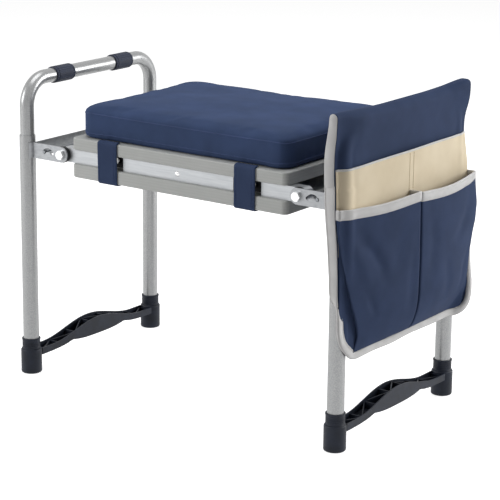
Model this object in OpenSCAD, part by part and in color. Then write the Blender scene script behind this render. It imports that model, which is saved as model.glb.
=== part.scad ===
// Folding garden kneeler seat.
// Two boards and two rails make the seat. Each end carries a folding leg frame: two leg
// tubes, a handle tube, a moulded foot brace and a pressed bracket that turns on two bolts.
// The frames are drawn for the +X end and mirrored for the -X end. Floor at z = 0.

/* [Seat boards] */
// Length of the seat boards
board_length = 396; // [360:1:480]
// Width of the seat boards
board_width = 308; // [270:1:340]
// Thickness of the upper board
upper_board_t = 19; // [12:0.5:26]
// Thickness of the lower board
lower_board_t = 21; // [12:0.5:26]
// Radius of the boards' corners, seen from above
board_corner_r = 9; // [5:0.5:20]
// Radius along the boards' edges
board_edge_r = 2.5; // [1:0.5:4]
// Height of the lower board's top face above the floor
seat_z = 352; // [330:1:400]

/* [Rails] */
// Height of the rails between the boards
rail_h = 21.5; // [18:0.5:26]
// Depth of the rails, front to back
rail_depth = 20; // [14:0.5:26]
// Wall of the hollow rails
rail_wall = 2; // [1:0.25:3]
// Distance from the boards' edge to the rail's face
rail_recess = 6; // [4:0.5:10]
// Distance from the seat's middle to the middle of a strap window in the rails
window_x = 126; // [100:1:140]
// Length of a strap window
window_l = 49; // [42:1:60]
// Width of the cross members behind the windows
cross_w = 32; // [20:1:38]
// Wall of the cross members
cross_wall = 2; // [1.5:0.25:3]
// Distance from the rail's face to the cross members' ends
cross_setback = 18; // [10:1:24]
// Thickness of a cross member's end plug
plug_t = 4; // [3:0.5:6]
// Radius of the rivet heads on the rails
rivet_r = 4; // [3:0.25:6]
// Radius of the rivet shanks
rivet_shank_r = 2.4; // [1.5:0.1:2.8]

/* [Cushion] */
// Thickness of the cushion at its edge
cushion_t = 45; // [30:1:60]
// Height of the cushion's crown above its edge
cushion_crown = 4; // [2:0.5:8]
// Distance from the boards' end to the cushion's end
cushion_inset_x = 1; // [0:0.5:6]
// Distance from the boards' front edge to the cushion's front
cushion_inset_y = 5; // [3:0.5:12]
// Radius of the cushion's corners, seen from above
cushion_corner_r = 24; // [16:1:36]
// Radius along the cushion's edges
cushion_edge_r = 8; // [5:0.5:12]
// Width of a strap
strap_w = 37; // [25:1:40]
// Thickness of a strap
strap_t = 2; // [1.5:0.1:3]

/* [Leg frames] */
// Distance from the boards' end to the pivot bolts
pivot_overhang = 19; // [16:0.5:26]
// Distance from the pivot bolts out to the legs
frame_offset = 70.5; // [66:0.5:90]
// Distance of the leg centres inside the boards' edge
leg_inset = 1.5; // [0.5:0.25:3]
// Diameter of the leg tubes
leg_d = 25; // [23:0.5:30]
// Wall of the leg tubes
leg_wall = 1.4; // [1:0.1:2]
// Height of the leg tubes' upper ends above the pivot
leg_top_h = 22; // [18:1:40]
// Wall of the handle tubes
handle_wall = 1.5; // [1:0.1:2.5]
// Length of handle tube inside a leg tube
handle_insert = 55; // [30:1:80]
// Height of the handle bar's centre line above the floor
handle_z = 470; // [460:1:560]
// Bend radius of the handle's centre line
handle_bend_r = 41; // [34:1:60]
// Distance from the handle's middle to the middle of a grip ring
grip_y = 72; // [40:1:80]
// Length of a grip ring
grip_l = 42; // [25:1:55]
// Thickness of the grip rings
grip_t = 2; // [1.5:0.1:4]

/* [Brackets] */
// Thickness of the bracket's sheet
bracket_t = 2.5; // [2:0.25:3.5]
// Height of the bracket
bracket_h = 24; // [22:0.5:30]
// Distance from the legs' centre line to the bracket's ears
ear_offset = 1; // [0.5:0.25:2]
// Angle that the saddle wraps round the leg
saddle_angle = 42; // [20:1:70]
// Distance from the pivot to the middle of the lock slot
slot_x = 26; // [25:0.5:28]
// Radius of the lock slot's arch
slot_arc_r = 10; // [9:0.25:12]
// Half of the angle between the lock slot's two pockets
slot_half_angle = 53; // [40:1:58]
// Diameter of the lock rod
rod_d = 5; // [4:0.25:6]
// Diameter of the pivot bolts
bolt_d = 8; // [6:0.5:10]
// Width across flats of the bolt heads and nuts
bolt_af = 13; // [11:0.5:16]
// Height of the bolt heads
bolt_head_h = 5; // [3.5:0.25:7]
// Height of the nuts
nut_h = 6; // [4:0.25:8]
// Diameter of the black spacers on the pivots
spacer_d = 25; // [20:0.5:28]

/* [Foot braces] */
// Diameter of the foot cups
cup_d = 33; // [31:0.5:40]
// Height of the foot cups up to their shoulder
cup_h = 40; // [38:0.5:50]
// Height of the collars' rim above the floor
collar_z = 57; // [52:0.5:70]
// Wall of the collars round the leg tubes
collar_wall = 1.6; // [1.2:0.1:3]
// Thickness of the sole under the leg tubes
sole_t = 6; // [4:0.5:10]
// Width of the arched beam
beam_w = 25; // [18:0.5:28]
// Wall of the arched beam
beam_wall = 2; // [1.5:0.25:3]
// Height of the beam's lower edge at the cups
beam_low_z = 26.8; // [22:0.2:28]
// Height of the beam's wall at the cups
beam_end_h = 11; // [9:0.5:14]
// Rise of the beam's upper edge at its crest
beam_rise = 19; // [12:0.5:26]
// Rise of the beam's lower edge at its two waists
waist_rise = 6.5; // [3:0.5:8]
// Distance from the middle to each waist
waist_y = 66; // [50:1:80]
// Number of bays between the beam's cross ribs
rib_bays = 7; // [4:1:10]
// Thickness of the ribs
rib_t = 1.6; // [1.2:0.1:2.4]
// Depth of the ribs' tops below the walls' edge
rib_drop = 2.5; // [1:0.25:5]

/* [Tool pouch] */
// Distance the pouch's sides stand proud of the legs
pouch_overhang = 8; // [4:0.5:20]
// Height of the pouch's lower edge above the floor
pouch_low_z = 133; // [120:1:200]
// Radius of the pouch's two lower corners
pouch_corner = 42; // [20:1:60]
// Thickness of the pouch's cloth panels
cloth_t = 3; // [2:0.25:4]
// Height of the hood's inner edge above the bracket
hood_gap = 10; // [6:0.5:20]
// Height of the light pocket's opening above the floor
light_pocket_z = 415; // [390:1:430]
// Room inside the light pocket
light_pocket_gap = 6; // [5:0.5:10]
// Height of the two dark pockets' openings above the floor
dark_pocket_z = 352; // [320:1:370]
// Room inside the dark pockets
dark_pocket_gap = 13; // [12:0.5:30]
// Inset of the dark pockets' front panels at the outer sides
pocket_taper = 18; // [8:1:30]
// Height of the bindings on the pocket openings
binding_h = 14; // [6:0.5:18]
// Thickness of the bindings
binding_t = 1.2; // [0.8:0.1:2]

/* [Clearances] */
// Radial clearance of a bolt or rivet in its hole
bolt_fit = 0.05; // [0.02:0.01:0.1]
// Radial clearance of a tube in a tube, a ring or a socket
tube_fit = 0.1; // [0.05:0.01:0.2]
// Gap between the ears and what turns against them
face_gap = 0.3; // [0.2:0.05:0.5]
// Radial clearance of the lock rod in its slot
rod_fit = 0.35; // [0.3:0.05:0.6]
// Gap between cloth and what it lies on
cloth_gap = 0.3; // [0.2:0.05:0.6]

/* [Hidden] */
$fn = 64;
seat_end_x = board_length / 2;
seat_side_y = board_width / 2;
lower_board_z = seat_z - lower_board_t;
upper_board_z = seat_z + rail_h;
board_top_z = upper_board_z + upper_board_t;
pivot_x = seat_end_x + pivot_overhang;
pivot_z = seat_z + rail_h / 2;
leg_x = pivot_x + frame_offset;
leg_y = seat_side_y - leg_inset;
leg_r = leg_d / 2;
leg_top_z = pivot_z + leg_top_h;
handle_r = leg_r - leg_wall - tube_fit;
grip_r = handle_r + tube_fit + grip_t;
rail_y = seat_side_y - rail_recess;
ear_in_y = leg_y + ear_offset;
ear_out_y = ear_in_y + bracket_t;
web_x = leg_x - leg_r - bracket_t - face_gap;
bolt_r = bolt_d / 2;
bolt_end_y = rail_y - rail_depth - nut_h - 2;
rod_r = rod_d / 2;
slot_z = pivot_z - slot_arc_r * cos(slot_half_angle);
cup_r = cup_d / 2;
collar_r = leg_r + tube_fit + collar_wall;
beam_reach = leg_y - leg_r;
crest_y = beam_reach - cup_r + leg_r - 22;
pouch_w = 2 * (leg_y + leg_r + pouch_overhang);
hood_in = max(leg_r, grip_r) + cloth_gap;
hood_z = handle_z;
hood_low_z = pivot_z + bracket_h / 2 + hood_gap;
panel_x = leg_x + hood_in;
light_x = panel_x + cloth_t + light_pocket_gap;
dark_x = light_x + cloth_t + dark_pocket_gap;
pouch_out_x = dark_x + cloth_t + binding_t;
// The origin is at the middle of the whole object, so the seat's middle lies off it in X
seat_shift = -(pouch_out_x - leg_x - cup_r) / 2;

// ---- helpers ----

// Moves the object from the seat's middle to its own origin
module place() { translate([seat_shift, 0, 0]) children(); }

// Draws children at the -X end from the +X shape
module left_end() { mirror([1, 0, 0]) children(); }

// Draws children, made for the +Y side, at the sides named in s
module at_sides(s = [-1, 1]) { for (k = s) mirror([0, k < 0 ? 1 : 0, 0]) children(); }

// Draws children, made for the +X side, at both ends
module at_ends() { for (k = [0, 1]) mirror([k, 0, 0]) children(); }

// Cylinder along +Y from y0 to y1
module y_cylinder(r, y0, y1) {
    translate([0, y1, 0]) rotate([90, 0, 0]) cylinder(r = r, h = y1 - y0);
}

// Extrudes an X-Z outline along Y, from y0 to y1
module y_extrude(y0, y1) {
    translate([0, y1, 0]) rotate([90, 0, 0]) linear_extrude(y1 - y0) children();
}

// Extrusion along X from x0 to x1; the profile's x and y are Y and Z
module along_x(x0, x1) {
    translate([x0, 0, 0]) rotate([90, 0, 90]) linear_extrude(x1 - x0) children();
}

// Disc from z = 0 to t with radius rc and round edges re
module soft_disc(t, rc, re) {
    rotate_extrude($fn = 32) polygon([
        [0, 0],
        for (a = [-90:22.5:0]) [rc - re + re * cos(a), re + re * sin(a)],
        for (a = [0:22.5:90]) [rc - re + re * cos(a), t - re + re * sin(a)],
        [0, t]]);
}

// Slab from z = 0 to t with round corners rc and round edges re
module soft_slab(l, w, t, rc, re) {
    hull() for (sx = [-1, 1], sy = [-1, 1])
        translate([sx * (l / 2 - rc), sy * (w / 2 - rc), 0]) soft_disc(t, rc, re);
}

// Hexagon across flats af
module hexagon(af) { circle(r = af / sqrt(3), $fn = 6); }

// ---- seat ----

module upper_board() {
    color([0.62, 0.62, 0.6]) translate([0, 0, upper_board_z])
        soft_slab(board_length, board_width, upper_board_t, board_corner_r, board_edge_r);
}

module lower_board() {
    color([0.62, 0.62, 0.6]) translate([0, 0, lower_board_z])
        soft_slab(board_length, board_width, lower_board_t, board_corner_r, board_edge_r);
}

// Arm: hollow rail from the window to the round nose on the pivot bolt
module rail_arm() {
    x0 = window_x + window_l / 2;
    translate([0, 0, pivot_z]) difference() {
        y_extrude(rail_y - rail_depth, rail_y) {
            translate([x0, -rail_h / 2]) square([pivot_x - x0, rail_h]);
            translate([pivot_x, 0]) circle(rail_h / 2);
        }
        y_extrude(rail_y - rail_depth + rail_wall, rail_y - rail_wall)
            translate([x0 - 1, rail_wall - rail_h / 2]) square([pivot_x - x0 + 1 - bolt_d, rail_h - 2 * rail_wall]);
        translate([pivot_x, 0, 0]) y_cylinder(bolt_r + bolt_fit, rail_y - rail_depth - 1, rail_y + 1);
    }
}

module rail_arms() {
    color([0.78, 0.79, 0.8]) at_ends() at_sides() rail_arm();
}

module rail_middles() {
    l = window_x - window_l / 2;
    color([0.78, 0.79, 0.8]) at_sides() difference() {
        translate([-l, rail_y - rail_depth, seat_z]) cube([2 * l, rail_depth, rail_h]);
        translate([-l - 1, rail_y - rail_depth + rail_wall, seat_z + rail_wall])
            cube([2 * l + 2, rail_depth - 2 * rail_wall, rail_h - 2 * rail_wall]);
        translate([0, 0, pivot_z]) y_cylinder(rivet_shank_r + bolt_fit, rail_y - rail_wall - 1, rail_y + 1);
    }
}

// Low domed head on a shank, standing on z = 0 with the shank below
module dome_rivet(r, shank_r, grip) {
    dome_h = r * 0.45;
    ball_r = (r * r + dome_h * dome_h) / (2 * dome_h);
    intersection() {
        translate([0, 0, dome_h - ball_r]) sphere(ball_r);
        cylinder(r = r, h = dome_h + 1);
    }
    translate([0, 0, -grip]) cylinder(r = shank_r, h = grip + 0.1);
}

module rail_rivets() {
    color([0.7, 0.71, 0.72]) at_sides() translate([0, rail_y, pivot_z])
        rotate([-90, 0, 0]) dome_rivet(rivet_r, rivet_shank_r, rail_wall + 2);
}

// Middle of a cross member's end plug, measured from the object's middle
function cross_end_y() = rail_y - cross_setback;

module cross_members() {
    l = 2 * (cross_end_y() - plug_t);
    color([0.1, 0.1, 0.11]) at_ends() translate([window_x, 0, pivot_z]) difference() {
        cube([cross_w, l, rail_h], center = true);
        cube([cross_w - 2 * cross_wall, l + 2, rail_h - 2 * cross_wall], center = true);
    }
}

// Plug with a flange that covers the tube's end and a body that fills its bore
module cross_plugs() {
    in_w = cross_w - 2 * (cross_wall + tube_fit);
    in_h = rail_h - 2 * (cross_wall + tube_fit);
    color([0.08, 0.08, 0.09]) at_ends() at_sides() translate([window_x, cross_end_y() - plug_t, pivot_z])
        difference() {
            union() {
                translate([-cross_w / 2, 0, -rail_h / 2]) cube([cross_w, plug_t, rail_h]);
                translate([-in_w / 2, -12, -in_h / 2]) cube([in_w, 12.1, in_h]);
            }
            y_cylinder(rivet_shank_r + bolt_fit, -13, plug_t + 1);
        }
}

module cross_bolts() {
    color([0.75, 0.76, 0.77]) at_ends() at_sides() translate([window_x, cross_end_y(), pivot_z]) {
        rotate([-90, 0, 0]) linear_extrude(3) hexagon(8);
        y_cylinder(rivet_shank_r, -14, 0.1);
    }
}

module cushion() {
    l = board_length - 2 * cushion_inset_x;
    w = board_width - 2 * cushion_inset_y;
    color([0.2, 0.25, 0.38]) translate([0, 0, board_top_z + cloth_gap]) hull() {
        soft_slab(l, w, cushion_t, cushion_corner_r, cushion_edge_r);
        soft_slab(l - 3 * cushion_corner_r, w - 3 * cushion_corner_r, cushion_t + cushion_crown,
            cushion_corner_r, cushion_edge_r);
    }
}

// Straps pass from the cushion's lower edge round the front, the underside and the back
module cushion_straps() {
    in_y = seat_side_y + cloth_gap;
    out_y = in_y + strap_t;
    low_z = lower_board_z - cloth_gap - strap_t;
    top_z = board_top_z + cloth_gap + strap_t;
    color([0.2, 0.25, 0.38]) at_ends() translate([window_x - strap_w / 2, 0, 0])
        rotate([90, 0, 90]) linear_extrude(strap_w) difference() {
            translate([-out_y, low_z]) square([2 * out_y, top_z - low_z]);
            translate([-in_y, low_z + strap_t]) square([2 * in_y, top_z - low_z - 2 * strap_t]);
            translate([-in_y + cushion_inset_y, top_z - strap_t - 1])
                square([2 * (in_y - cushion_inset_y), strap_t + 2]);
        }
}

// ---- pivots ----

module pivot_bolts() {
    color([0.86, 0.87, 0.87]) at_ends() at_sides() translate([pivot_x, 0, pivot_z]) {
        translate([0, ear_out_y + face_gap, 0]) rotate([-90, 0, 0]) intersection() {
            linear_extrude(bolt_head_h) hexagon(bolt_af);
            translate([0, 0, -1]) cylinder(r1 = bolt_af, r2 = bolt_af / 2, h = bolt_head_h + 1);
        }
        y_cylinder(bolt_r, bolt_end_y, ear_out_y + face_gap + 0.1);
    }
}

module pivot_spacers() {
    color([0.07, 0.07, 0.08]) at_ends() at_sides() translate([pivot_x, 0, pivot_z]) difference() {
        y_cylinder(spacer_d / 2, rail_y, ear_in_y - face_gap);
        y_cylinder(bolt_r + bolt_fit, rail_y - 1, ear_in_y + 1);
    }
}

module pivot_nuts() {
    y1 = rail_y - rail_depth;
    color([0.8, 0.81, 0.82]) at_ends() at_sides() translate([pivot_x, 0, pivot_z]) difference() {
        y_extrude(y1 - nut_h, y1) hexagon(bolt_af);
        y_cylinder(bolt_r + bolt_fit, y1 - nut_h - 1, y1 + 1);
    }
}

// ---- leg frame, drawn for the +X end ----

module leg_tube() {
    color([0.74, 0.74, 0.73]) translate([leg_x, leg_y, sole_t]) difference() {
        cylinder(r = leg_r, h = leg_top_z - sole_t);
        translate([0, 0, -1]) cylinder(r = leg_r - leg_wall, h = leg_top_z - sole_t + 2);
    }
}

// Inverted U, open inside; r is the tube's own radius, so the bore uses it too
module handle_path(r, extra) {
    bend_y = leg_y - handle_bend_r;
    bend_z = handle_z - handle_bend_r;
    low_z = leg_top_z - handle_insert - extra;
    at_sides() {
        translate([0, leg_y, low_z]) cylinder(r = r, h = bend_z - low_z);
        translate([0, bend_y, bend_z]) rotate([90, 0, 90]) rotate_extrude(angle = 90)
            translate([handle_bend_r, 0]) circle(r);
    }
    translate([0, 0, handle_z]) y_cylinder(r, -bend_y, bend_y);
}

module handle_tube() {
    color([0.76, 0.76, 0.76]) translate([leg_x, 0, 0]) difference() {
        handle_path(handle_r, 0);
        handle_path(handle_r - handle_wall, 1);
    }
}

// Rubber rings with rolled ends and a raised bead at each end
module grip_rings() {
    bead = 2.2;
    color([0.13, 0.16, 0.24]) at_sides() translate([leg_x, grip_y + grip_l / 2, handle_z])
        rotate([90, 0, 0]) difference() {
            union() {
                cylinder(r = grip_r - 0.5, h = grip_l);
                for (z = [bead, grip_l - bead]) translate([0, 0, z]) rotate_extrude()
                    translate([grip_r - bead, 0]) circle(bead);
                translate([0, 0, 2 * bead + 1]) cylinder(r = grip_r, h = grip_l - 4 * bead - 2);
            }
            translate([0, 0, -bead]) cylinder(r = handle_r + tube_fit, h = grip_l + 2 * bead);
        }
}

// ---- bracket ----

// Lock slot: an arch with a pocket at each end
module slot_outline() {
    half_w = rod_r + rod_fit;
    translate([pivot_x + slot_x, slot_z]) {
        intersection() {
            difference() {
                circle(slot_arc_r + half_w);
                circle(slot_arc_r - half_w);
            }
            polygon([[0, 0], for (a = [-1, -0.5, 0, 0.5, 1])
                40 * [sin(a * slot_half_angle), cos(a * slot_half_angle)]]);
        }
        for (s = [-1, 1]) translate(slot_arc_r * [s * sin(slot_half_angle), cos(slot_half_angle)])
            circle(half_w + 0.3);
    }
}

module ear() {
    difference() {
        y_extrude(ear_in_y, ear_out_y) difference() {
            union() {
                translate([pivot_x, pivot_z]) circle(bracket_h / 2);
                translate([pivot_x, pivot_z - bracket_h / 2])
                    square([web_x + bracket_t - pivot_x, bracket_h]);
            }
            slot_outline();
        }
        translate([pivot_x, 0, pivot_z]) y_cylinder(bolt_r + bolt_fit, ear_in_y - 1, ear_out_y + 1);
    }
}

// Saddle: the ear's end, rolled round the outer face of the leg from just past the web
module saddle() {
    reach = 2 * leg_r;
    translate([leg_x, leg_y, pivot_z - bracket_h / 2]) linear_extrude(bracket_h) intersection() {
        difference() {
            circle(leg_r + tube_fit + bracket_t);
            circle(leg_r + tube_fit);
        }
        polygon([[0, 0], for (a = [-6, saddle_angle]) reach * [-cos(a), sin(a)]]);
    }
}

module bracket() {
    color([0.8, 0.81, 0.82]) difference() {
        union() {
            at_sides() { ear(); saddle(); }
            translate([web_x, -ear_out_y, pivot_z - bracket_h / 2]) cube([bracket_t, 2 * ear_out_y, bracket_h]);
        }
        at_sides() translate([web_x - 1, bracket_rivet_y(), pivot_z])
            rotate([0, 90, 0]) cylinder(r = rivet_shank_r + bolt_fit, h = bracket_t + 2);
    }
}

function bracket_rivet_y() = leg_y - leg_r / 3;

// Rivets through the web towards the legs
module bracket_rivets() {
    color([0.7, 0.71, 0.72]) at_sides() translate([web_x, bracket_rivet_y(), pivot_z])
        rotate([0, -90, 0]) dome_rivet(rivet_r, rivet_shank_r, bracket_t);
}

// Lock rod in the slot's outer pockets, with a retaining ring inside each ear
module lock_rod() {
    x = pivot_x + slot_x + slot_arc_r * sin(slot_half_angle);
    z = slot_z + slot_arc_r * cos(slot_half_angle);
    color([0.45, 0.46, 0.47]) translate([x, 0, z]) {
        y_cylinder(rod_r, -ear_out_y - 0.8, ear_out_y + 0.8);
        at_sides() y_cylinder(rod_r + 1.5, ear_in_y - face_gap - 1.2, ear_in_y - face_gap);
    }
}

// ---- foot brace ----

// Upper and lower edges of the beam's wall at a distance y from the middle
function beam_top(y) = beam_low_z + beam_end_h
    + (abs(y) < crest_y ? beam_rise * (1 + cos(180 * y / crest_y)) / 2 : 0);
function beam_low(y) = abs(y) < waist_y
    ? beam_low_z + 1.5 + (waist_rise - 1.5) * pow(abs(y) / waist_y, 3)
    : beam_low_z + waist_rise * exp(-(abs(y) - waist_y) / 20);

// Y-Z outline of the beam between its lower edge + a and its upper edge - b
module beam_outline(a, b) {
    n = 48;
    ys = [for (i = [0:n]) beam_reach * (2 * i / n - 1)];
    polygon([for (y = ys) [y, beam_low(y) + a], for (i = [n:-1:0]) [ys[i], beam_top(ys[i]) - b]]);
}

// Extrudes a Y-Z outline along X, centred on x = 0
module x_extrude(w) { translate([-w / 2, 0, 0]) rotate([90, 0, 90]) linear_extrude(w) children(); }

// Plan of the ribs: cross ribs between bays and a zigzag from wall to wall
module rib_plan() {
    in_w = beam_w - 2 * beam_wall;
    bay = 2 * (leg_y - cup_r) / rib_bays;
    for (i = [0:rib_bays]) translate([0, (i - rib_bays / 2) * bay]) square([in_w + 0.4, rib_t], center = true);
    for (i = [0:rib_bays - 1]) translate([0, (i + 0.5 - rib_bays / 2) * bay])
        rotate((i % 2 == 0 ? 1 : -1) * atan2(bay, in_w))
            square([sqrt(bay * bay + in_w * in_w) - rib_t, rib_t], center = true);
}

module beam() {
    difference() {
        x_extrude(beam_w) beam_outline(0, 0);
        x_extrude(beam_w - 2 * beam_wall) beam_outline(beam_wall, -beam_rise);
    }
    intersection() {
        x_extrude(beam_w - beam_wall) beam_outline(beam_wall / 2, rib_drop);
        linear_extrude(collar_z + beam_rise) rib_plan();
    }
}

// Outline of a cup and its collar, from the axis out
module cup_outline() {
    foot_r = 2.5;
    shoulder_r = 3;
    rim = 0.6;
    polygon([
        [0, 0],
        for (a = [-90:15:0]) [cup_r - foot_r + foot_r * cos(a), foot_r + foot_r * sin(a)],
        for (a = [0:15:90]) [cup_r - shoulder_r + shoulder_r * cos(a), cup_h - shoulder_r + shoulder_r * sin(a)],
        [collar_r + 0.8, cup_h + 0.2], [collar_r, cup_h + 1.2],
        [collar_r, collar_z - 3], [collar_r + rim, collar_z - 2.4], [collar_r + rim, collar_z - 0.6],
        [collar_r, collar_z], [0, collar_z]]);
}

module foot_brace() {
    groove_z = [for (i = [0:2]) cup_h + 4 + i * 2.6];
    color([0.12, 0.14, 0.2]) translate([leg_x, 0, 0]) difference() {
        union() {
            beam();
            at_sides() translate([0, leg_y, 0]) rotate_extrude() cup_outline();
        }
        at_sides() translate([0, leg_y, sole_t]) cylinder(r = leg_r + tube_fit, h = collar_z);
        at_sides() translate([0, leg_y, 0]) for (z = groove_z) translate([0, 0, z]) rotate_extrude()
            translate([collar_r - 0.4, 0]) square([2, 0.8]);
    }
}

// ---- tool pouch on the +X frame ----

// Outline of a panel from y0 to y1 and z0 to z1 with lower corners of radius ra at y0 and rb at y1
module panel_outline(y0, y1, z0, z1, ra, rb) {
    cut = 0.2;
    difference() {
        translate([y0, z0]) square([y1 - y0, z1 - z0]);
        for (c = [[y0, 1, ra], [y1, -1, rb]]) if (c[2] > 0) difference() {
            translate([c[1] > 0 ? c[0] - 1 : c[0] - c[2] + cut, z0 - 1]) square([c[2] - cut + 1, c[2] - cut + 1]);
            translate([c[0] + c[1] * (c[2] - cut), z0 + c[2] - cut]) circle(c[2]);
        }
    }
}

// Hood: inner flap, fold over the handle bar and the long outer panel
module pouch_hood() {
    out_r = hood_in + cloth_t;
    color([0.17, 0.2, 0.31]) intersection() {
        y_extrude(-pouch_w / 2, pouch_w / 2) translate([leg_x, 0]) {
            intersection() {
                translate([0, hood_z]) difference() { circle(out_r); circle(hood_in); }
                translate([-out_r, hood_z]) square([2 * out_r, out_r]);
            }
            translate([-out_r, hood_low_z]) square([cloth_t, hood_z - hood_low_z]);
            translate([hood_in, pouch_low_z - 1]) square([cloth_t, hood_z - pouch_low_z + 1]);
        }
        along_x(leg_x - out_r - 5, leg_x + out_r + 5)
            panel_outline(-pouch_w / 2 - 1, pouch_w / 2 + 1, pouch_low_z, hood_z + out_r + 5,
                pouch_corner + 1, pouch_corner + 1);
    }
}

// Bands that close the hood's two sides
module pouch_side_bands() {
    out_r = hood_in + cloth_t;
    color([0.72, 0.72, 0.73]) at_sides() y_extrude(pouch_w / 2, pouch_w / 2 + cloth_t) translate([leg_x, 0]) {
        intersection() {
            translate([0, hood_z]) circle(out_r);
            translate([-out_r, hood_z]) square([2 * out_r, out_r]);
        }
        translate([-out_r, hood_low_z]) square([2 * out_r, hood_z - hood_low_z]);
    }
}

// Pocket from the panel at x0 to its front at x1, open at the top: a front, two sides and a rounded bottom.
// in0 and in1 draw its front in at the two sides, ra and rb round its lower corners
module pocket(x0, x1, y0, y1, in0, in1, z0, z1, ra, rb) {
    t = cloth_t;
    difference() {
        intersection() {
            along_x(x0, x1 + t) panel_outline(y0, y1, z0, z1, ra, rb);
            translate([0, 0, z0 - 1]) linear_extrude(z1 - z0 + 2)
                polygon([[x0 - 1, y0 - 2], [x0, y0], [x1 + t, y0 + in0], [x1 + t + 1, y0 + in0],
                    [x1 + t + 1, y1 - in1], [x1 + t, y1 - in1], [x0, y1], [x0 - 1, y1 + 2]]);
        }
        intersection() {
            along_x(x0 - 1, x1) panel_outline(y0 + t, y1 - t, z0 + t, z1 + 2, max(ra - t, 0), max(rb - t, 0));
            translate([0, 0, z0]) linear_extrude(z1 - z0 + 3)
                polygon([[x0 - 1, y0 + t], [x0, y0 + t], [x1, y0 + in0 + t], [x1 + 1, y0 + in0 + t],
                    [x1 + 1, y1 - in1 - t], [x1, y1 - in1 - t], [x0, y1 - t], [x0 - 1, y1 - t]]);
        }
    }
}

module pouch_light_pocket() {
    color([0.86, 0.8, 0.68]) pocket(panel_x + cloth_t, light_x, -pouch_w / 2, pouch_w / 2, 1, 1,
        pouch_low_z, light_pocket_z, pouch_corner, pouch_corner);
}

module dark_pocket(y0, y1, in0, in1, ra, rb) {
    color([0.17, 0.2, 0.31]) pocket(light_x + cloth_t, dark_x, y0, y1, in0, in1,
        pouch_low_z, dark_pocket_z, ra, rb);
}

module pouch_front_pocket() { dark_pocket(1 - pouch_w / 2, -cloth_gap / 2, pocket_taper, 1, pouch_corner, 0); }

module pouch_rear_pocket() { dark_pocket(cloth_gap / 2, pouch_w / 2 - 1, 1, pocket_taper, 0, pouch_corner); }

// Bindings along the pockets' upper edges
module pouch_bindings() {
    x = dark_x + cloth_t;
    y_out = pouch_w / 2 - 1 - pocket_taper;
    color([0.75, 0.75, 0.76]) {
        for (y0 = [-y_out, 3]) translate([x, y0, dark_pocket_z - binding_h])
            cube([binding_t, y_out - 3, binding_h]);
        translate([light_x + cloth_t, 2 - pouch_w / 2, light_pocket_z - 3]) cube([binding_t, pouch_w - 4, 3]);
    }
}

// ---- nodes ----

module left_front_leg() { left_end() at_sides([-1]) leg_tube(); }
module left_rear_leg() { left_end() at_sides([1]) leg_tube(); }
module left_handle() { left_end() handle_tube(); }
module left_grips() { left_end() grip_rings(); }
module left_foot_brace() { left_end() foot_brace(); }
module left_bracket() { left_end() bracket(); }
module left_bracket_rivets() { left_end() bracket_rivets(); }
module left_lock_rod() { left_end() lock_rod(); }
module right_front_leg() { at_sides([-1]) leg_tube(); }
module right_rear_leg() { at_sides([1]) leg_tube(); }
module right_handle() { handle_tube(); }
module right_grips() { grip_rings(); }
module right_foot_brace() { foot_brace(); }
module right_bracket() { bracket(); }
module right_bracket_rivets() { bracket_rivets(); }
module right_lock_rod() { lock_rod(); }

place() upper_board();
place() lower_board();
place() rail_arms();
place() rail_middles();
place() rail_rivets();
place() cross_members();
place() cross_plugs();
place() cross_bolts();
place() cushion();
place() cushion_straps();
place() pivot_bolts();
place() pivot_spacers();
place() pivot_nuts();
place() left_front_leg();
place() left_rear_leg();
place() left_handle();
place() left_grips();
place() left_foot_brace();
place() left_bracket();
place() left_bracket_rivets();
place() left_lock_rod();
place() right_front_leg();
place() right_rear_leg();
place() right_handle();
place() right_grips();
place() right_foot_brace();
place() right_bracket();
place() right_bracket_rivets();
place() right_lock_rod();
place() pouch_hood();
place() pouch_side_bands();
place() pouch_light_pocket();
place() pouch_front_pocket();
place() pouch_rear_pocket();
place() pouch_bindings();
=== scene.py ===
"""Garden kneeler seat: cushion, straps, tool pouch, finishes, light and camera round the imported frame."""

import math

import bpy
import numpy as np
from mathutils import Matrix, Vector
from mathutils.bvhtree import BVHTree


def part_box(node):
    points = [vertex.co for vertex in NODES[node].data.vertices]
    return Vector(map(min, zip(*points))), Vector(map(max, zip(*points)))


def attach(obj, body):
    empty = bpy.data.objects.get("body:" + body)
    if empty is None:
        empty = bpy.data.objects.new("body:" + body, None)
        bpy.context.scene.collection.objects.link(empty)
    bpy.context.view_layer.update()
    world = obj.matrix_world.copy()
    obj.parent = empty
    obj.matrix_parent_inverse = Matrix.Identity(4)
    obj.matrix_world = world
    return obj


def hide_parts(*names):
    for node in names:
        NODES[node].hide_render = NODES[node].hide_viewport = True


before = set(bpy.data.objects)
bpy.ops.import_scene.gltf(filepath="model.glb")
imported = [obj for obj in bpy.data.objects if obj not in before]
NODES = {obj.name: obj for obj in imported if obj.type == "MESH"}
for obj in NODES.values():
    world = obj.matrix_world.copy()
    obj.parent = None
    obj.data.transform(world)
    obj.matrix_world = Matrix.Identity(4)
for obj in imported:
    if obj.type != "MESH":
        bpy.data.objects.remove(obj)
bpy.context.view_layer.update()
MM = 0.001


# ---- places, all in millimetres from the seat's middle ----

board_lo, board_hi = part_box("upper_board")
MIDDLE = np.array([(board_lo.x + board_hi.x) / 2, 0.0, 0.0])


def box_mm(node):
    """Lowest and highest corner of a CAD node."""
    return [(np.array(c) - MIDDLE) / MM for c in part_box(node)]


def to_frame(points):
    """Points in millimetres from the seat's middle, as metres in the frame."""
    return np.asarray(points, float) * MM + MIDDLE


def smooth_step(t):
    t = np.clip(t, 0.0, 1.0)
    return t * t * (3 - 2 * t)


def lerp(a, b, t):
    return a + (b - a) * t


# ---- camera ----

YAW, PITCH, ROLL = math.radians(35.17), math.radians(15.19), math.radians(0.70)
CAMERA_PLACE = (1.65855, -2.3325, 0.9947)
LENS_MM, SENSOR_MM = 138.43, 36.0


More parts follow.
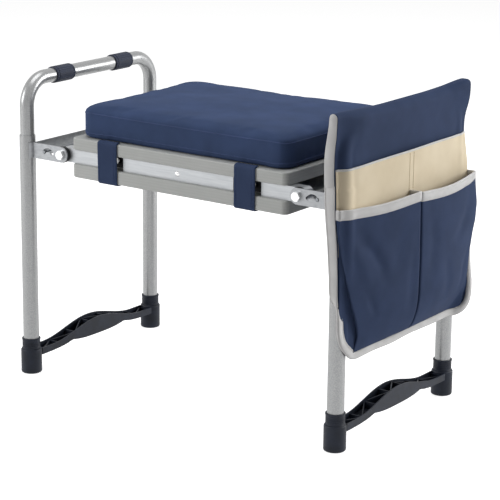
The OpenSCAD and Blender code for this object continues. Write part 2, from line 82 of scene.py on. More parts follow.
def make_camera():
    """A long lens a good three metres from the seat, a little above it and to its right."""
    ahead = math.cos(PITCH)
    forward = Vector((-math.sin(YAW) * ahead, math.cos(YAW) * ahead, -math.sin(PITCH)))
    level = Vector((math.cos(YAW), math.sin(YAW), 0.0))
    upright = level.cross(forward)
    across = level * math.cos(ROLL) + upright * math.sin(ROLL)
    upward = upright * math.cos(ROLL) - level * math.sin(ROLL)
    data = bpy.data.cameras.new("camera")
    data.lens, data.sensor_width = LENS_MM, SENSOR_MM
    data.clip_start, data.clip_end = 0.05, 60.0
    camera = bpy.data.objects.new("camera", data)
    bpy.context.scene.collection.objects.link(camera)
    turn = Matrix((across, upward, -forward)).transposed().to_4x4()
    camera.matrix_world = Matrix.Translation(CAMERA_PLACE) @ turn
    bpy.context.scene.camera = camera


make_camera()


# ---- mesh tools ----


def piece(name, points, faces, body, finish, slot):
    """A mesh piece from points in millimetres, in one finish, that rides on a body."""
    mesh = bpy.data.meshes.new(name)
    mesh.from_pydata([tuple(p) for p in to_frame(points)], [], [tuple(int(i) for i in f) for f in faces])
    mesh.validate()
    made = bpy.data.objects.new(name, mesh)
    bpy.context.scene.collection.objects.link(made)
    mesh.materials.append(finish)
    mesh.shade_smooth()
    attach(made, body)
    return made


def grid_faces(rows, columns, closed=False, looped=False):
    """Quads of a grid of points, row by row; closed joins the last column to the first, looped the last row."""
    return [
        (r * columns + c, r * columns + (c + 1) % columns,
         (r + 1) % rows * columns + (c + 1) % columns, (r + 1) % rows * columns + c)
        for r in range(rows if looped else rows - 1) for c in range(columns if closed else columns - 1)
    ]


def end_faces(rows, columns):
    """The two faces that close the ends of a tube of points."""
    return [tuple(range(columns - 1, -1, -1)), tuple((rows - 1) * columns + c for c in range(columns))]


def smoothed(made):
    """Halves a cloth's mesh once more, so its folds stay round."""
    more = made.modifiers.new("smooth_cloth", "SUBSURF")
    more.levels = more.render_levels = 1


def thick(made, thickness):
    """Gives a sheet its cloth's thickness, in millimetres, half to each side."""
    solid = made.modifiers.new("cloth_thickness", "SOLIDIFY")
    solid.thickness, solid.offset = thickness * MM, 0.0
    smoothed(made)


def unit(v):
    v = np.asarray(v, float)
    n = np.linalg.norm(v, axis=-1, keepdims=True)
    return v / np.where(n < 1e-12, 1.0, n)


def tangents(path, closed=False):
    path = np.asarray(path, float)
    if closed:
        return unit(np.roll(path, -1, 0) - np.roll(path, 1, 0))
    return unit(np.gradient(path, axis=0))


def respaced(path, step, closed=False):
    """The same line with points an even step apart."""
    path = np.asarray(path, float)
    if closed:
        path = np.vstack([path, path[:1]])
    along = np.concatenate([[0], np.cumsum(np.linalg.norm(np.diff(path, axis=0), axis=1))])
    count = max(int(round(along[-1] / step)), 3)
    at = np.linspace(0, along[-1], count + 1)
    even = np.column_stack([np.interp(at, along, path[:, k]) for k in range(path.shape[1])])
    return even[:-1] if closed else even


def swept(path, outward, outline, closed=False):
    """Points and faces of an outline swept along a path; outline is (across, outward) pairs round the section."""
    path, outward = np.asarray(path, float), unit(outward)
    along = tangents(path, closed)
    across = unit(np.cross(along, outward))
    outward = unit(np.cross(across, along))
    outline = np.asarray(outline, float)
    if outline.ndim == 2:
        outline = np.broadcast_to(outline, (len(path),) + outline.shape)
    rings = path[:, None] + across[:, None] * outline[:, :, :1] + outward[:, None] * outline[:, :, 1:]
    faces = grid_faces(*rings.shape[:2], closed=True, looped=closed)
    return rings.reshape(-1, 3), faces if closed else faces + end_faces(*rings.shape[:2])


def round_outline(radius, sides):
    angles = np.arange(sides) * 2 * math.pi / sides
    return np.column_stack([radius * np.cos(angles), radius * np.sin(angles)])


def band_outline(width, thickness, steps):
    """Section of a flat band with soft edges, lying on its path."""
    r = thickness / 2
    half = width / 2 - r
    right = [(half + r * math.sin(a), r - r * math.cos(a)) for a in np.linspace(0, math.pi, 5)]
    over = [(x, thickness) for x in np.linspace(half, -half, steps)[1:-1]]
    left = [(-x, t) for x, t in reversed(right)]
    under = [(x, 0.0) for x in np.linspace(-half, half, steps)[1:-1]]
    return np.array(right + over + left + under)


def joined(parts):
    """One list of points and faces from several."""
    points, faces, first = [], [], 0
    for p, f in parts:
        points.append(np.asarray(p, float))
        faces += [tuple(i + first for i in face) for face in f]
        first += len(p)
    return np.vstack(points), faces


# height in thread radii and share of the length, along one stitch
STITCH_BOW = ((-0.6, 0.0), (0.6, 0.14), (1.0, 0.5), (0.6, 0.86), (-0.6, 1.0))


def stitched(path, outward, length, gap, radius):
    """Thread stitches along a path: short rounded stitches whose ends dip into the cloth."""
    line = respaced(path, length + gap)
    at, known = np.linspace(0, 1, len(line)), np.linspace(0, 1, len(outward))
    normals = unit(np.column_stack([np.interp(at, known, np.asarray(outward, float)[:, k]) for k in range(3)]))
    parts = []
    share = length / (length + gap)
    for i in range(len(line) - 1):
        a, b, n = line[i], lerp(line[i], line[i + 1], share), normals[i]
        spine = np.array([lerp(a, b, t) + n * h * radius for h, t in STITCH_BOW])
        parts.append(swept(spine, np.tile(n, (len(spine), 1)), round_outline(radius, 6)))
    return joined(parts)


# ---- colour and node tools ----


def linear(hex_colour):
    """A written sRGB colour, such as "a1a2a0", as linear red, green, blue and alpha."""
    parts = [int(hex_colour[i:i + 2], 16) / 255 for i in (0, 2, 4)]
    return tuple(c / 12.92 if c <= 0.04045 else ((c + 0.055) / 1.055) ** 2.4 for c in parts) + (1.0,)


def add(tree, kind, inputs=(), **settings):
    """Adds a node with its own settings. Its inputs, by name or in order, are values, or what to link from: a node,
    for its first output, or (node, output)."""
    made = tree.nodes.new("ShaderNode" + kind)
    for key, value in settings.items():
        setattr(made, key, value)
    for key, value in inputs.items() if isinstance(inputs, dict) else enumerate(inputs):
        source, output = value if isinstance(value, tuple) and len(value) == 2 else (value, 0)
        if isinstance(source, bpy.types.Node):
            tree.links.new(source.outputs[output], made.inputs[key])
        else:
            made.inputs[key].default_value = value
    return made


def material(name):
    """An empty material, its node tree, and the object's own coordinates, which keep a pattern at its real size."""
    made = bpy.data.materials.new(name)
    made.use_nodes = True
    tree = made.node_tree
    tree.nodes.clear()
    return made, tree, (add(tree, "TexCoord"), "Object")


def surfaced(tree, inputs):
    """Ends a material's tree with its shader and output."""
    add(tree, "OutputMaterial", {"Surface": add(tree, "BsdfPrincipled", inputs)})


def blotches(tree, where, size_mm, detail=2.0, roughness=0.5, stretch=(1, 1, 1)):
    """Uneven patches about size_mm across, from 0 to 1; stretch lengthens them along an axis."""
    scaled = add(tree, "Mapping", {"Vector": where, "Scale": tuple(1 / s for s in stretch)})
    return add(tree, "TexNoise", {"Vector": scaled, "Scale": 1000 / size_mm, "Detail": detail,
                                  "Roughness": roughness}), "Fac"


def wave(tree, where, axis, spacing_mm):
    """A wave from -1 to 1 along one axis."""
    place = add(tree, "SeparateXYZ", (where,))
    angle = add(tree, "Math", ((place, axis), 2 * math.pi / (spacing_mm * MM)), operation="MULTIPLY")
    return add(tree, "Math", (angle,), operation="SINE")


def facing(tree, axis):
    """1 where a face looks straight along an axis, falling quickly to 0 as it turns away."""
    normal = add(tree, "SeparateXYZ", ((add(tree, "NewGeometry"), "Normal"),))
    size = add(tree, "Math", ((normal, axis),), operation="ABSOLUTE")
    return add(tree, "Math", (size, 4.0), operation="POWER")


def weave(tree, where, thread_mm):
    """Plain weave of threads thread_mm apart, from 0 to 1, laid on each face by the way it looks."""
    waves = {axis: wave(tree, where, axis, 2 * thread_mm) for axis in "XYZ"}
    total = 0.0
    for axis, (a, b) in {"X": "YZ", "Y": "XZ", "Z": "XY"}.items():
        crossed = add(tree, "Math", (waves[a], waves[b]), operation="MULTIPLY")
        total = add(tree, "Math", (crossed, facing(tree, axis), total), operation="MULTIPLY_ADD")
    return add(tree, "Math", (total, 0.5, 0.5), operation="MULTIPLY_ADD")


def mixed(tree, pattern, ground, share):
    """A share of one pattern and the rest of another."""
    part = add(tree, "Math", (pattern, share), operation="MULTIPLY")
    return add(tree, "Math", (ground, 1 - share, part), operation="MULTIPLY_ADD")


def dyed(tree, dark, light, share, low=0.3, high=0.7):
    """Colour that runs from dark to light as a share goes from low to high."""
    ramp = add(tree, "ValToRGB", {"Fac": share})
    for stop, place, colour in zip(ramp.color_ramp.elements, (low, high), (dark, light)):
        stop.position, stop.color = place, linear(colour)
    return ramp


# ---- finishes ----


def woven_cloth(name, dark, light, thread_mm, roughness, sheen, depth_mm=0.12):
    """Woven polyester: a plain weave, slightly uneven dye and a soft sheen on the turned edges. The threads are
    drawn coarser than the real half millimetre, so that they show."""
    made, tree, where = material(name)
    threads = weave(tree, where, thread_mm)
    dye = mixed(tree, threads, blotches(tree, where, 45.0, 3.0), 0.35)
    soft = add(tree, "Bump", {"Strength": 0.5, "Distance": 0.35 * MM, "Height": blotches(tree, where, 28.0)})
    relief = add(tree, "Bump", {"Strength": 0.6, "Distance": depth_mm * MM, "Height": threads, "Normal": soft})
    surfaced(tree, {"Base Color": dyed(tree, dark, light, dye, 0.3, 0.72), "Roughness": roughness,
                    "Sheen Weight": sheen, "Sheen Roughness": 0.45, "Sheen Tint": linear(light),
                    "Specular IOR Level": 0.12, "Normal": relief})
    return made


def powder_coat(name, dark, light, roughness):
    """Silver powder coat on steel tube: fine metal flake and a slight orange peel that softens its highlights."""
    made, tree, where = material(name)
    flake = dyed(tree, dark, light, blotches(tree, where, 1.6), 0.35, 0.65)
    rough = add(tree, "MapRange", {"Value": blotches(tree, where, 6.0), "To Min": roughness - 0.05,
                                   "To Max": roughness + 0.05})
    peel = add(tree, "Bump", {"Strength": 0.5, "Distance": 0.03 * MM, "Height": blotches(tree, where, 2.2, 1.0)})
    surfaced(tree, {"Base Color": flake, "Metallic": 0.6, "Roughness": rough, "Normal": peel})
    return made


def satin_metal(name, dark, light, roughness, grain_mm, stretch):
    """Anodised or plated metal: brushed along its length, so the light draws out into soft streaks."""
    made, tree, where = material(name)
    grain = blotches(tree, where, grain_mm, 3.0, 0.6, stretch)
    rough = add(tree, "MapRange", {"Value": grain, "To Min": roughness - 0.06, "To Max": roughness + 0.08})
    brushed = add(tree, "Bump", {"Strength": 0.4, "Distance": 0.02 * MM, "Height": grain})
    surfaced(tree, {"Base Color": dyed(tree, dark, light, grain), "Metallic": 0.85, "Roughness": rough,
                    "Normal": brushed})
    return made


def ridged_plastic(name, dark, light, roughness, ridge_mm):
    """Blow-moulded polythene: fine ridges along the board, the mould's dull haze and painted shade in their grooves.
    """
    made, tree, where = material(name)
    level = facing(tree, "Z")
    upright = add(tree, "Math", (1.0, level), operation="SUBTRACT")
    over = add(tree, "Math", (wave(tree, where, "Y", ridge_mm), level), operation="MULTIPLY")
    both = add(tree, "Math", (wave(tree, where, "Z", ridge_mm), upright, over), operation="MULTIPLY_ADD")
    ridges = add(tree, "Math", (both, 0.5, 0.5), operation="MULTIPLY_ADD")
    # the colour is partly the mould's dull haze and partly painted shade: the ridges' grooves are painted a little
    # darker than their crests
    haze_and_painted_groove_shade = mixed(tree, ridges, blotches(tree, where, 60.0, 4.0), 0.2)
    grit = add(tree, "Bump", {"Strength": 0.5, "Distance": 0.03 * MM, "Height": blotches(tree, where, 1.2)})
    relief = add(tree, "Bump", {"Strength": 0.5, "Distance": 0.1 * MM, "Height": ridges, "Normal": grit})
    surfaced(tree, {"Base Color": dyed(tree, dark, light, haze_and_painted_groove_shade), "Roughness": roughness, "Normal": relief})
    return made


def moulded_plastic(name, dark, light, roughness):
    """Moulded polypropylene: an even spark-eroded grain that breaks up its low gloss."""
    made, tree, where = material(name)
    tone = dyed(tree, dark, light, blotches(tree, where, 22.0, 3.0), 0.35, 0.65)
    grain = add(tree, "Bump", {"Strength": 0.6, "Distance": 0.05 * MM, "Height": blotches(tree, where, 1.4)})
    surfaced(tree, {"Base Color": tone, "Roughness": roughness, "IOR": 1.49, "Specular IOR Level": 0.25,
                    "Normal": grain})
    return made


def dotted_rubber(name, dark, light, dot_mm):
    """Thermoplastic rubber: rows of small grip dots, with painted shade between them and a painted highlight on top.
    """
    made, tree, where = material(name)
    dots = add(tree, "TexVoronoi", {"Vector": where, "Scale": 1000 / dot_mm, "Randomness": 0.15})
    dot_height_and_painted_shade = add(tree, "MapRange", {"Value": (dots, "Distance"), "From Min": 0.15, "From Max": 0.5,
                                    "To Min": 1.0, "To Max": 0.0})
    relief = add(tree, "Bump", {"Strength": 0.8, "Distance": 0.4 * MM, "Height": dot_height_and_painted_shade})
    # painted shade and highlight: the colour runs dark between the dots and light on their tops, following their
    # height
    surfaced(tree, {"Base Color": dyed(tree, dark, light, dot_height_and_painted_shade, 0.0, 1.0), "Roughness": 0.62,
                    "Specular IOR Level": 0.3, "Normal": relief})
    return made


def ribbed_tape(name, dark, light, rib_mm):
    """Grosgrain polyester tape: fine cross ribs with a matt face, drawn a little coarser than real."""
    made, tree, where = material(name)
    ribs = weave(tree, where, rib_mm)
    tone = mixed(tree, ribs, blotches(tree, where, 18.0, 3.0), 0.4)
    relief = add(tree, "Bump", {"Strength": 0.6, "Distance": 0.12 * MM, "Height": ribs})
    surfaced(tree, {"Base Color": dyed(tree, dark, light, tone), "Roughness": 0.85, "Sheen Weight": 0.15,
                    "Specular IOR Level": 0.25, "Normal": relief})
    return made


cushion_cloth = woven_cloth("navy_oxford_cloth", "32405c", "3d4d71", 1.3, 0.8, 0.04)
strap_cloth = woven_cloth("navy_strap_cloth", "2e3a55", "394663", 1.5, 0.8, 0.04, 0.2)
pouch_cloth = woven_cloth("navy_pouch_cloth", "28344d", "313e5b", 1.2, 0.78, 0.04)
light_cloth = woven_cloth("beige_pouch_cloth", "d3c4a8", "e2d5bc", 1.2, 0.78, 0.1)
thread = woven_cloth("navy_thread", "35425f", "44537a", 0.6, 0.7, 0.1)
pale_thread = woven_cloth("beige_thread", "c9b894", "d9caa8", 0.6, 0.7, 0.1)
grey_thread = woven_cloth("grey_thread", "b4b2b0", "cfcdcb", 0.6, 0.7, 0.1)
tape = ribbed_tape("grey_grosgrain_tape", "bfbebe", "d2d1d0", 1.4)
board_plastic = ridged_plastic("grey_blow_moulded_polythene", "a9aba8", "b3b4b2", 0.6, 4.2)
rail_metal = satin_metal("satin_anodised_aluminium", "9da0a3", "aeb0b2", 0.42, 1.2, (30, 1, 1))
leg_coat = powder_coat("silver_powder_coat", "929394", "a2a3a3", 0.32)
handle_coat = powder_coat("silver_powder_coat_handle", "929394", "a3a4a4", 0.3)
foot_plastic = moulded_plastic("navy_polypropylene", "10151f", "1a202d", 0.5)
grip_rubber = dotted_rubber("navy_dotted_rubber", "1c2233", "333c52", 2.6)
bracket_metal = satin_metal("zinc_plated_sheet", "8a8c8f", "9d9fa1", 0.38, 3.0, (3, 3, 1))
bolt_metal = satin_metal("bright_zinc_bolt", "dfe0e0", "f2f2f2", 0.25, 1.0, (1, 1, 1))
rod_metal = satin_metal("grey_steel_rod", "74777b", "8a8d90", 0.35, 1.0, (1, 8, 1))
black_coat = moulded_plastic("black_powder_coat", "131417", "1d1e22", 0.5)
plug_plastic = moulded_plastic("black_end_plug_plastic", "101114", "18191c", 0.55)
spacer_nylon = moulded_plastic("black_nylon", "0d0e10", "151619", 0.4)

CAD_FINISH = {
    "upper_board": board_plastic, "lower_board": board_plastic, "rail_arms": rail_metal,
    "rail_middles": rail_metal, "rail_rivets": bolt_metal, "cross_members": black_coat,
    "cross_plugs": plug_plastic, "cross_bolts": bolt_metal, "pivot_bolts": bolt_metal,
    "pivot_spacers": spacer_nylon, "pivot_nuts": bolt_metal,
}
for side in ("left", "right"):
    CAD_FINISH.update({
        f"{side}_front_leg": leg_coat, f"{side}_rear_leg": leg_coat, f"{side}_handle": handle_coat,
        f"{side}_grips": grip_rubber, f"{side}_foot_brace": foot_plastic, f"{side}_bracket": bracket_metal,
        f"{side}_bracket_rivets": bolt_metal, f"{side}_lock_rod": rod_metal,
    })
for node_name, finish in CAD_FINISH.items():
    for material_slot in NODES[node_name].material_slots:
        material_slot.material = finish


# ---- cushion ----

cushion_lo, cushion_hi = box_mm("cushion")
CORNER_R = 24.0
# how far the middle of the top stands over its edge, and how far the seam lies under that edge
CROWN, TOP_SEAM_DROP = 4.0, 5.0
LOW_R, TOP_R = 6.0, 7.0
# how far the walls pull in between the corners
WALL_PULL = 1.6
GATHER_MM = 17.0


def rounded_rectangle(half_l, half_w, radius, step):
    """Points round a rectangle with round corners, anticlockwise from its +X side."""
    corners = []
    for sx, sy, start in ((1, 1, 0), (-1, 1, 90), (-1, -1, 180), (1, -1, 270)):
        for a in np.radians(np.linspace(start, start + 90, 13)):
            corners.append((sx * (half_l - radius) + radius * math.cos(a),
                            sy * (half_w - radius) + radius * math.sin(a)))
    return respaced(corners, step, closed=True)


def cushion_blank():
    """The stuffed cover before it swells: a crowned slab with round edges and corners."""
    half_l, half_w = (cushion_hi[0] - cushion_lo[0]) / 2, (cushion_hi[1] - cushion_lo[1]) / 2
    low, edge = cushion_lo[2], cushion_hi[2] - CROWN
    rings, inset_z = [], []
    for a in np.radians(np.linspace(-90, 0, 7)):
        inset_z.append((LOW_R - LOW_R * math.cos(a), low + LOW_R + LOW_R * math.sin(a)))
    for a in np.radians(np.linspace(0, 90, 7)):
        inset_z.append((TOP_R - TOP_R * math.cos(a), edge - TOP_R + TOP_R * math.sin(a)))
    for inset, z in inset_z:
        ring = rounded_rectangle(half_l - 2 - inset, half_w - 2 - inset, CORNER_R - inset * 0.5, 4.0)
        rings.append(respaced(np.column_stack([ring, np.full(len(ring), z)]), 4.0, closed=True))
    count = min(len(r) for r in rings)
    loops = []
    for ring in rings:
        closed = np.vstack([ring, ring[:1]])
        at = np.linspace(0, len(ring), count, endpoint=False)
        known = np.arange(len(closed))
        loops.append(np.column_stack([np.interp(at, known, closed[:, k]) for k in range(3)]))
    edge_loop = loops[-1]
    for share in (0.85, 0.6, 0.35, 0.12):
        ring = edge_loop.copy()
        ring[:, :2] *= share
        ring[:, 2] = edge + CROWN * (1 - share ** 2)
        loops.append(ring)
    points = np.vstack(loops)
    return points, grid_faces(len(loops), count, closed=True) + end_faces(len(loops), count)


def puffed(made, voxel_mm, pressure, cap_mm, frames=20):
    """Swells a stuffed piece with cloth simulation, no point by more than cap_mm, and leaves a plain mesh."""
    bpy.context.view_layer.objects.active = made
    made.data.remesh_voxel_size = voxel_mm * MM
    with bpy.context.temp_override(object=made, active_object=made, selected_objects=[made]):
        bpy.ops.object.voxel_remesh()
    before = np.array([v.co for v in made.data.vertices])
    cloth = made.modifiers.new("puff", "CLOTH")
    cloth.settings.quality = 6
    cloth.settings.mass = 0.3
    cloth.settings.tension_stiffness = cloth.settings.compression_stiffness = 20
    cloth.settings.bending_stiffness = 1.5
    cloth.settings.use_pressure = True
    cloth.settings.uniform_pressure_force = pressure
    cloth.settings.effector_weights.gravity = 0
    cloth.point_cache.frame_start, cloth.point_cache.frame_end = 1, frames
    for step in range(1, frames + 1):
        bpy.context.scene.frame_set(step)
    swollen = made.evaluated_get(bpy.context.evaluated_depsgraph_get())
    after = np.array([v.co for v in swollen.data.vertices])
    made.modifiers.remove(cloth)
    bpy.context.scene.frame_set(1)
    move = after - before
    far = np.linalg.norm(move, axis=1, keepdims=True)
    move *= np.minimum(1.0, cap_mm * MM / np.maximum(far, 1e-9))
    return before + move


def rumple(points, size_mm, seed):
    """Smooth wandering values from -1 to 1 at points, from a few crossed waves."""
    rng = np.random.default_rng(seed)
    total = np.zeros(len(points))
    for _ in range(7):
        direction = unit(rng.normal(size=3))
        turn = 2 * math.pi / (size_mm * rng.uniform(0.7, 1.5))
        total += np.sin(points @ direction * turn + rng.uniform(0, 6.28))
    return total / 7 * 1.6


def make_cushion():
    points, faces = cushion_blank()
    made = piece("cushion_cover", points, faces, "seat", cushion_cloth, "cushion_cloth")
    # it swells away from its body, and rides on it again when it is done
    made.parent = None
    made.matrix_world = Matrix.Identity(4)
    shape = puffed(made, 5.0, 4.0, 5.0)
    shape = (shape - MIDDLE) / MM
    half_l, half_w = (cushion_hi[0] - cushion_lo[0]) / 2, (cushion_hi[1] - cushion_lo[1]) / 2
    low, high = cushion_lo[2], cushion_hi[2]
    seam_z = high - CROWN - TOP_SEAM_DROP
    # the walls pull in between the corners, and the corners stay full
    across, along = np.abs(shape[:, 1]) / half_w, np.abs(shape[:, 0]) / half_l
    wall_y, wall_x = smooth_step((across - 0.9) / 0.1), smooth_step((along - 0.92) / 0.08)
    shape[:, 1] -= np.sign(shape[:, 1]) * wall_y * WALL_PULL * (1 - along ** 4)
    shape[:, 0] -= np.sign(shape[:, 0]) * wall_x * WALL_PULL * (1 - across ** 4)
    # small gathers that run down from the top seam and up from the bottom one
    rim = np.maximum(wall_x, wall_y)
    around = np.where(wall_y > wall_x, shape[:, 0], shape[:, 1])
    for z, reach, depth in ((seam_z, 9.0, 0.55), (low + 5.0, 11.0, 0.7)):
        near = np.exp(-((shape[:, 2] - z) / reach) ** 2) * rim
        gather = np.sin(around * 2 * math.pi / GATHER_MM + 2.2 * np.sin(around / 31.0)) * near * depth
        shape[:, 1] += gather * np.sign(shape[:, 1]) * (wall_y > wall_x)
        shape[:, 0] += gather * np.sign(shape[:, 0]) * (wall_y <= wall_x)
    crown = smooth_step((shape[:, 2] - seam_z) / 6.0)
    shape[:, 2] += crown * rumple(shape * (1, 1, 0.2), 120.0, 3) * 0.7
    shape[:, 2] = np.clip(shape[:, 2], low, high + 6.0)
    shape[:, 0] = np.clip(shape[:, 0], cushion_lo[0] - 3, cushion_hi[0] + 3)
    made.data.vertices.foreach_set("co", to_frame(shape).ravel())
    made.data.update()
    made.data.shade_smooth()
    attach(made, "seat")
    smoothed(made)
    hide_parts("cushion")
    surface = BVHTree.FromPolygons([Vector(p) for p in shape], [tuple(p.vertices) for p in made.data.polygons])
    # each seam is found by rays that look in at the swollen wall
    seams = []
    for z, tilt in ((seam_z + 3.0, 0.7), (low + 4.5, -0.5)):
        ring = rounded_rectangle(half_l + 12, half_w + 12, CORNER_R + 12, 2.0)
        inner = rounded_rectangle(half_l - 12, half_w - 12, CORNER_R - 12, 2.0)
        inner = np.array([inner[np.argmin(np.linalg.norm(inner - p, axis=1))] for p in ring])
        path, outward = [], []
        for p, q in zip(ring, inner):
            direction = Vector((q[0] - p[0], q[1] - p[1], -tilt * 24)).normalized()
            start = Vector((p[0], p[1], z + tilt * 12))
            hit, normal, _, _ = surface.ray_cast(start, direction)
            if hit is not None:
                path.append(hit)
                outward.append(normal)
        path, outward = np.array(path), np.array(outward)
        for _ in range(6):
            path = (np.roll(path, 1, 0) + 2 * path + np.roll(path, -1, 0)) / 4
            outward = unit(np.roll(outward, 1, 0) + 2 * outward + np.roll(outward, -1, 0))
        seams.append(swept(path - outward * 0.35, outward, round_outline(1.05, 8), closed=True))
    points, faces = joined(seams)
    piece("cushion_seams", points, faces, "seat", thread, "cushion_cloth")


make_cushion()


# ---- straps ----

strap_lo, strap_hi = box_mm("cushion_straps")
STRAP_W, STRAP_T = 37.0, 1.8


def strap_path():
    """Y and Z round the boards: out from under the cushion, down the front, under the boards and up the back."""
    y0, y1 = strap_lo[1] + STRAP_T / 2, strap_hi[1] - STRAP_T / 2
    z0, z1 = strap_lo[2] + STRAP_T / 2, box_mm("upper_board")[1][2] + 1.3
    line = [(y0 + 8.5, z1 + 0.4), (y0 + 5.5, z1 + 0.3)]
    for centre_y, centre_z, start, radius in ((y0 + 3.0, z1 - 3.0, 90, 3.0), (y0 + 4.0, z0 + 4.0, 180, 4.0),
                                              (y1 - 4.0, z0 + 4.0, 270, 4.0), (y1 - 3.0, z1 - 3.0, 0, 3.0)):
        for a in np.radians(np.linspace(start, start + 90, 7)):
            line.append((centre_y + radius * math.cos(a), centre_z + radius * math.sin(a)))
    line += [(y1 - 5.5, z1 + 0.3), (y1 - 8.5, z1 + 0.4)]
    return respaced(line, 3.0)


def make_straps():
    straps, stitches = [], []
    route = strap_path()
    for side in (-1, 1):
        x = side * (strap_hi[0] - STRAP_W / 2)
        path = np.column_stack([np.full(len(route), x), route])
        middle = np.array([0.0, path[:, 1].mean(), path[:, 2].mean()])
        along = tangents(path)
        outward = unit(np.cross(along, (1.0, 0, 0)))
        outward *= np.sign(np.sum(outward * (path - middle) * (0, 1, 1), axis=1))[len(path) // 8]
        # a slack web: it stands a little off the recessed rail and waves by a hair
        drift = 0.5 * np.sin(np.linspace(0, 34, len(path)))
        path[:, 0] += 0.4 * np.sin(np.linspace(0, 11, len(path)) + side)
        under = path + outward * (drift * 0.3 - STRAP_T / 2)[:, None]
        straps.append(swept(under, outward, band_outline(STRAP_W, STRAP_T, 12)))
        for edge in (-STRAP_W / 2 + 3.0, STRAP_W / 2 - 3.0, STRAP_W / 2 - 6.0):
            line = path + np.array([edge, 0, 0]) + outward * 0.85
            stitches.append(stitched(line, outward, 3.4, 1.2, 0.3))
    points, faces = joined(straps)
    made = piece("cushion_straps_webbing", points, faces, "seat", strap_cloth, "strap_web")
    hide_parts("cushion_straps")
    points, faces = joined(stitches)
    piece("strap_stitching", points, faces, "seat", thread, "strap_web")


make_straps()


# ---- tool pouch ----

hood_lo, hood_hi = box_mm("pouch_hood")
bar_lo, bar_hi = box_mm("right_handle")
leg_lo, leg_hi = box_mm("right_front_leg")
LEG_X = (leg_lo[0] + leg_hi[0]) / 2
LEG_Y = abs(leg_lo[1] + leg_hi[1]) / 2
LEG_R = (leg_hi[0] - leg_lo[0]) / 2
BAR_R = (bar_hi[0] - bar_lo[0]) / 2
HALF_W = hood_hi[1]
TOP_Z = hood_hi[2]
LOW_Z = hood_lo[2]
FLAP_LOW_Z = leg_hi[2] + 3.0
CLOTH = 1.3
# across and up, in the two lower corners
CORNER_FRONT, CORNER_REAR = (50.0, 58.0), (30.0, 36.0)
PANEL_X = LEG_X + LEG_R + 1.2
BEND_R = 41.0
BEND_Z = bar_hi[2] - BAR_R - BEND_R
LIGHT_TOP_Z = box_mm("pouch_light_pocket")[1][2]
DARK_TOP_Z = box_mm("pouch_front_pocket")[1][2]
DARK_X = box_mm("pouch_front_pocket")[1][0] - 1.0


def kept_over(value, least):
    """value, but never under least: cloth that comes within 3 mm of what is under it lifts gently over it."""
    soft = 3.0
    gap = value - least
    return value if gap > soft else least + max(soft + gap, 0.0) ** 2 / (4 * soft)


def ends(y, start=118.0):
    """How near y is to the pouch's front edge and to its rear one, from 0 to 1."""
    return smooth_step((-y - start) / (HALF_W - start)), smooth_step((y - start) / (HALF_W - start))


def hood_shape(y):
    """Middle, half depth, crest height and squareness of the fold over the bar, at a distance y."""
    front, rear = ends(y)
    half = 14.6 + (6.4 - 14.6) * front + (13.0 - 14.6) * rear
    middle = LEG_X + 0.6 - 2.0 * front + 4.6 * rear
    lift = 4.0 * smooth_step((-y - 40) / 130) + 2.0 * smooth_step((y - 60) / 110)
    crest = TOP_Z - CLOTH / 2 + 1.0 + lift + 4.0 * rear
    return middle, half, crest, 2.0 + 2.2 * rear


def panel_x(y, z):
    """The outer panel's middle surface: flat against the legs, turned in at its front edge and out at its rear one."""
    front, rear = ends(y, 128.0)[0] ** 1.8, ends(y)[1] ** 1.3
    middle, half, crest, _ = hood_shape(y)
    centre_z = crest - half
    top = middle + half
    edge_front = np.interp(z, [LOW_Z, 212, 260, 304, 342, 410, 445, 480], [299, 299, 298, 296, 292, 289, 289, 292])
    edge_rear = np.interp(z, [LOW_Z, 183, 238, 300, 366, 413, 445, 480], [318, 319, 312, 309, 304, 297, 298, 304])
    low = PANEL_X + (edge_front - PANEL_X) * front + (edge_rear - PANEL_X) * rear
    low = lerp(low, top, smooth_step((z - 425) / (centre_z - 425)))
    # the cloth lies over the leg and over the bar's bend
    off = abs(abs(y) - LEG_Y)
    if z > BEND_Z:
        across, up = abs(y) - (LEG_Y - BEND_R), z - BEND_Z
        off = abs(math.hypot(across, up) - BEND_R) if across > 0 else abs(up - BEND_R)
    clear = (LEG_R if z < leg_hi[2] else BAR_R) + 2.4
    tube = LEG_X + math.sqrt(max(clear ** 2 - off ** 2, 0.0)) if off < clear else 0.0
    return kept_over(low, tube)


def bottom_z(y):
    """The panel's lower edge, with its rounded corners."""
    wide, high = (CORNER_FRONT if y < 0 else CORNER_REAR)
    inside = np.clip((abs(y) - (HALF_W - wide)) / wide, 0, 1)
    return LOW_Z + CLOTH + high * (1 - math.sqrt(max(1 - inside ** 2.2, 0)))


def width_lines(count):
    """Distances across the pouch, closer together near its edges."""
    t = np.linspace(-1, 1, count)
    return HALF_W * np.sin(t * math.pi / 2 * 0.92) / math.sin(math.pi / 2 * 0.92)


def hood_line(y):
    """The hood's line at a distance y: up the inner flap, over the bar and down the outer panel."""
    middle, half, crest, square = hood_shape(y)
    centre_z = crest - half
    line = []
    for z in np.linspace(FLAP_LOW_Z, centre_z, 16)[:-1]:
        drop = (centre_z - z) / (centre_z - FLAP_LOW_Z)
        front, rear = ends(y)
        back = max(LEG_R, BAR_R) + 1.6
        spread = lerp(half, lerp(back, 12.5, front), smooth_step(drop * 1.6))
        belly = 1.5 * math.sin(math.pi * drop) * math.cos(y / 60.0)
        line.append((middle - spread - 2.2 * front * math.sin(math.pi * drop) - belly, y, z))
    for a in np.linspace(math.pi, 0, 17)[:-1]:
        c, up = math.cos(a), math.sin(a)
        outer = math.copysign(abs(c) ** (2 / square), c) if c > 0 else c
        line.append((middle + half * outer, y, centre_z + half * (up ** (2 / square) if c > 0 else up)))
    low = bottom_z(y)
    for z in centre_z + (low - centre_z) * np.linspace(0, 1, 56):
        line.append((float(panel_x(y, z)), y, z))
    return line


def cloth_panel(name, rows, finish, slot, node):
    """A panel of the pouch from rows of points, as thick as its cloth, in place of a CAD node."""
    made = piece(name, rows.reshape(-1, 3), grid_faces(*rows.shape[:2]), "right_frame", finish, slot)
    thick(made, CLOTH)
    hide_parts(node)
    return made


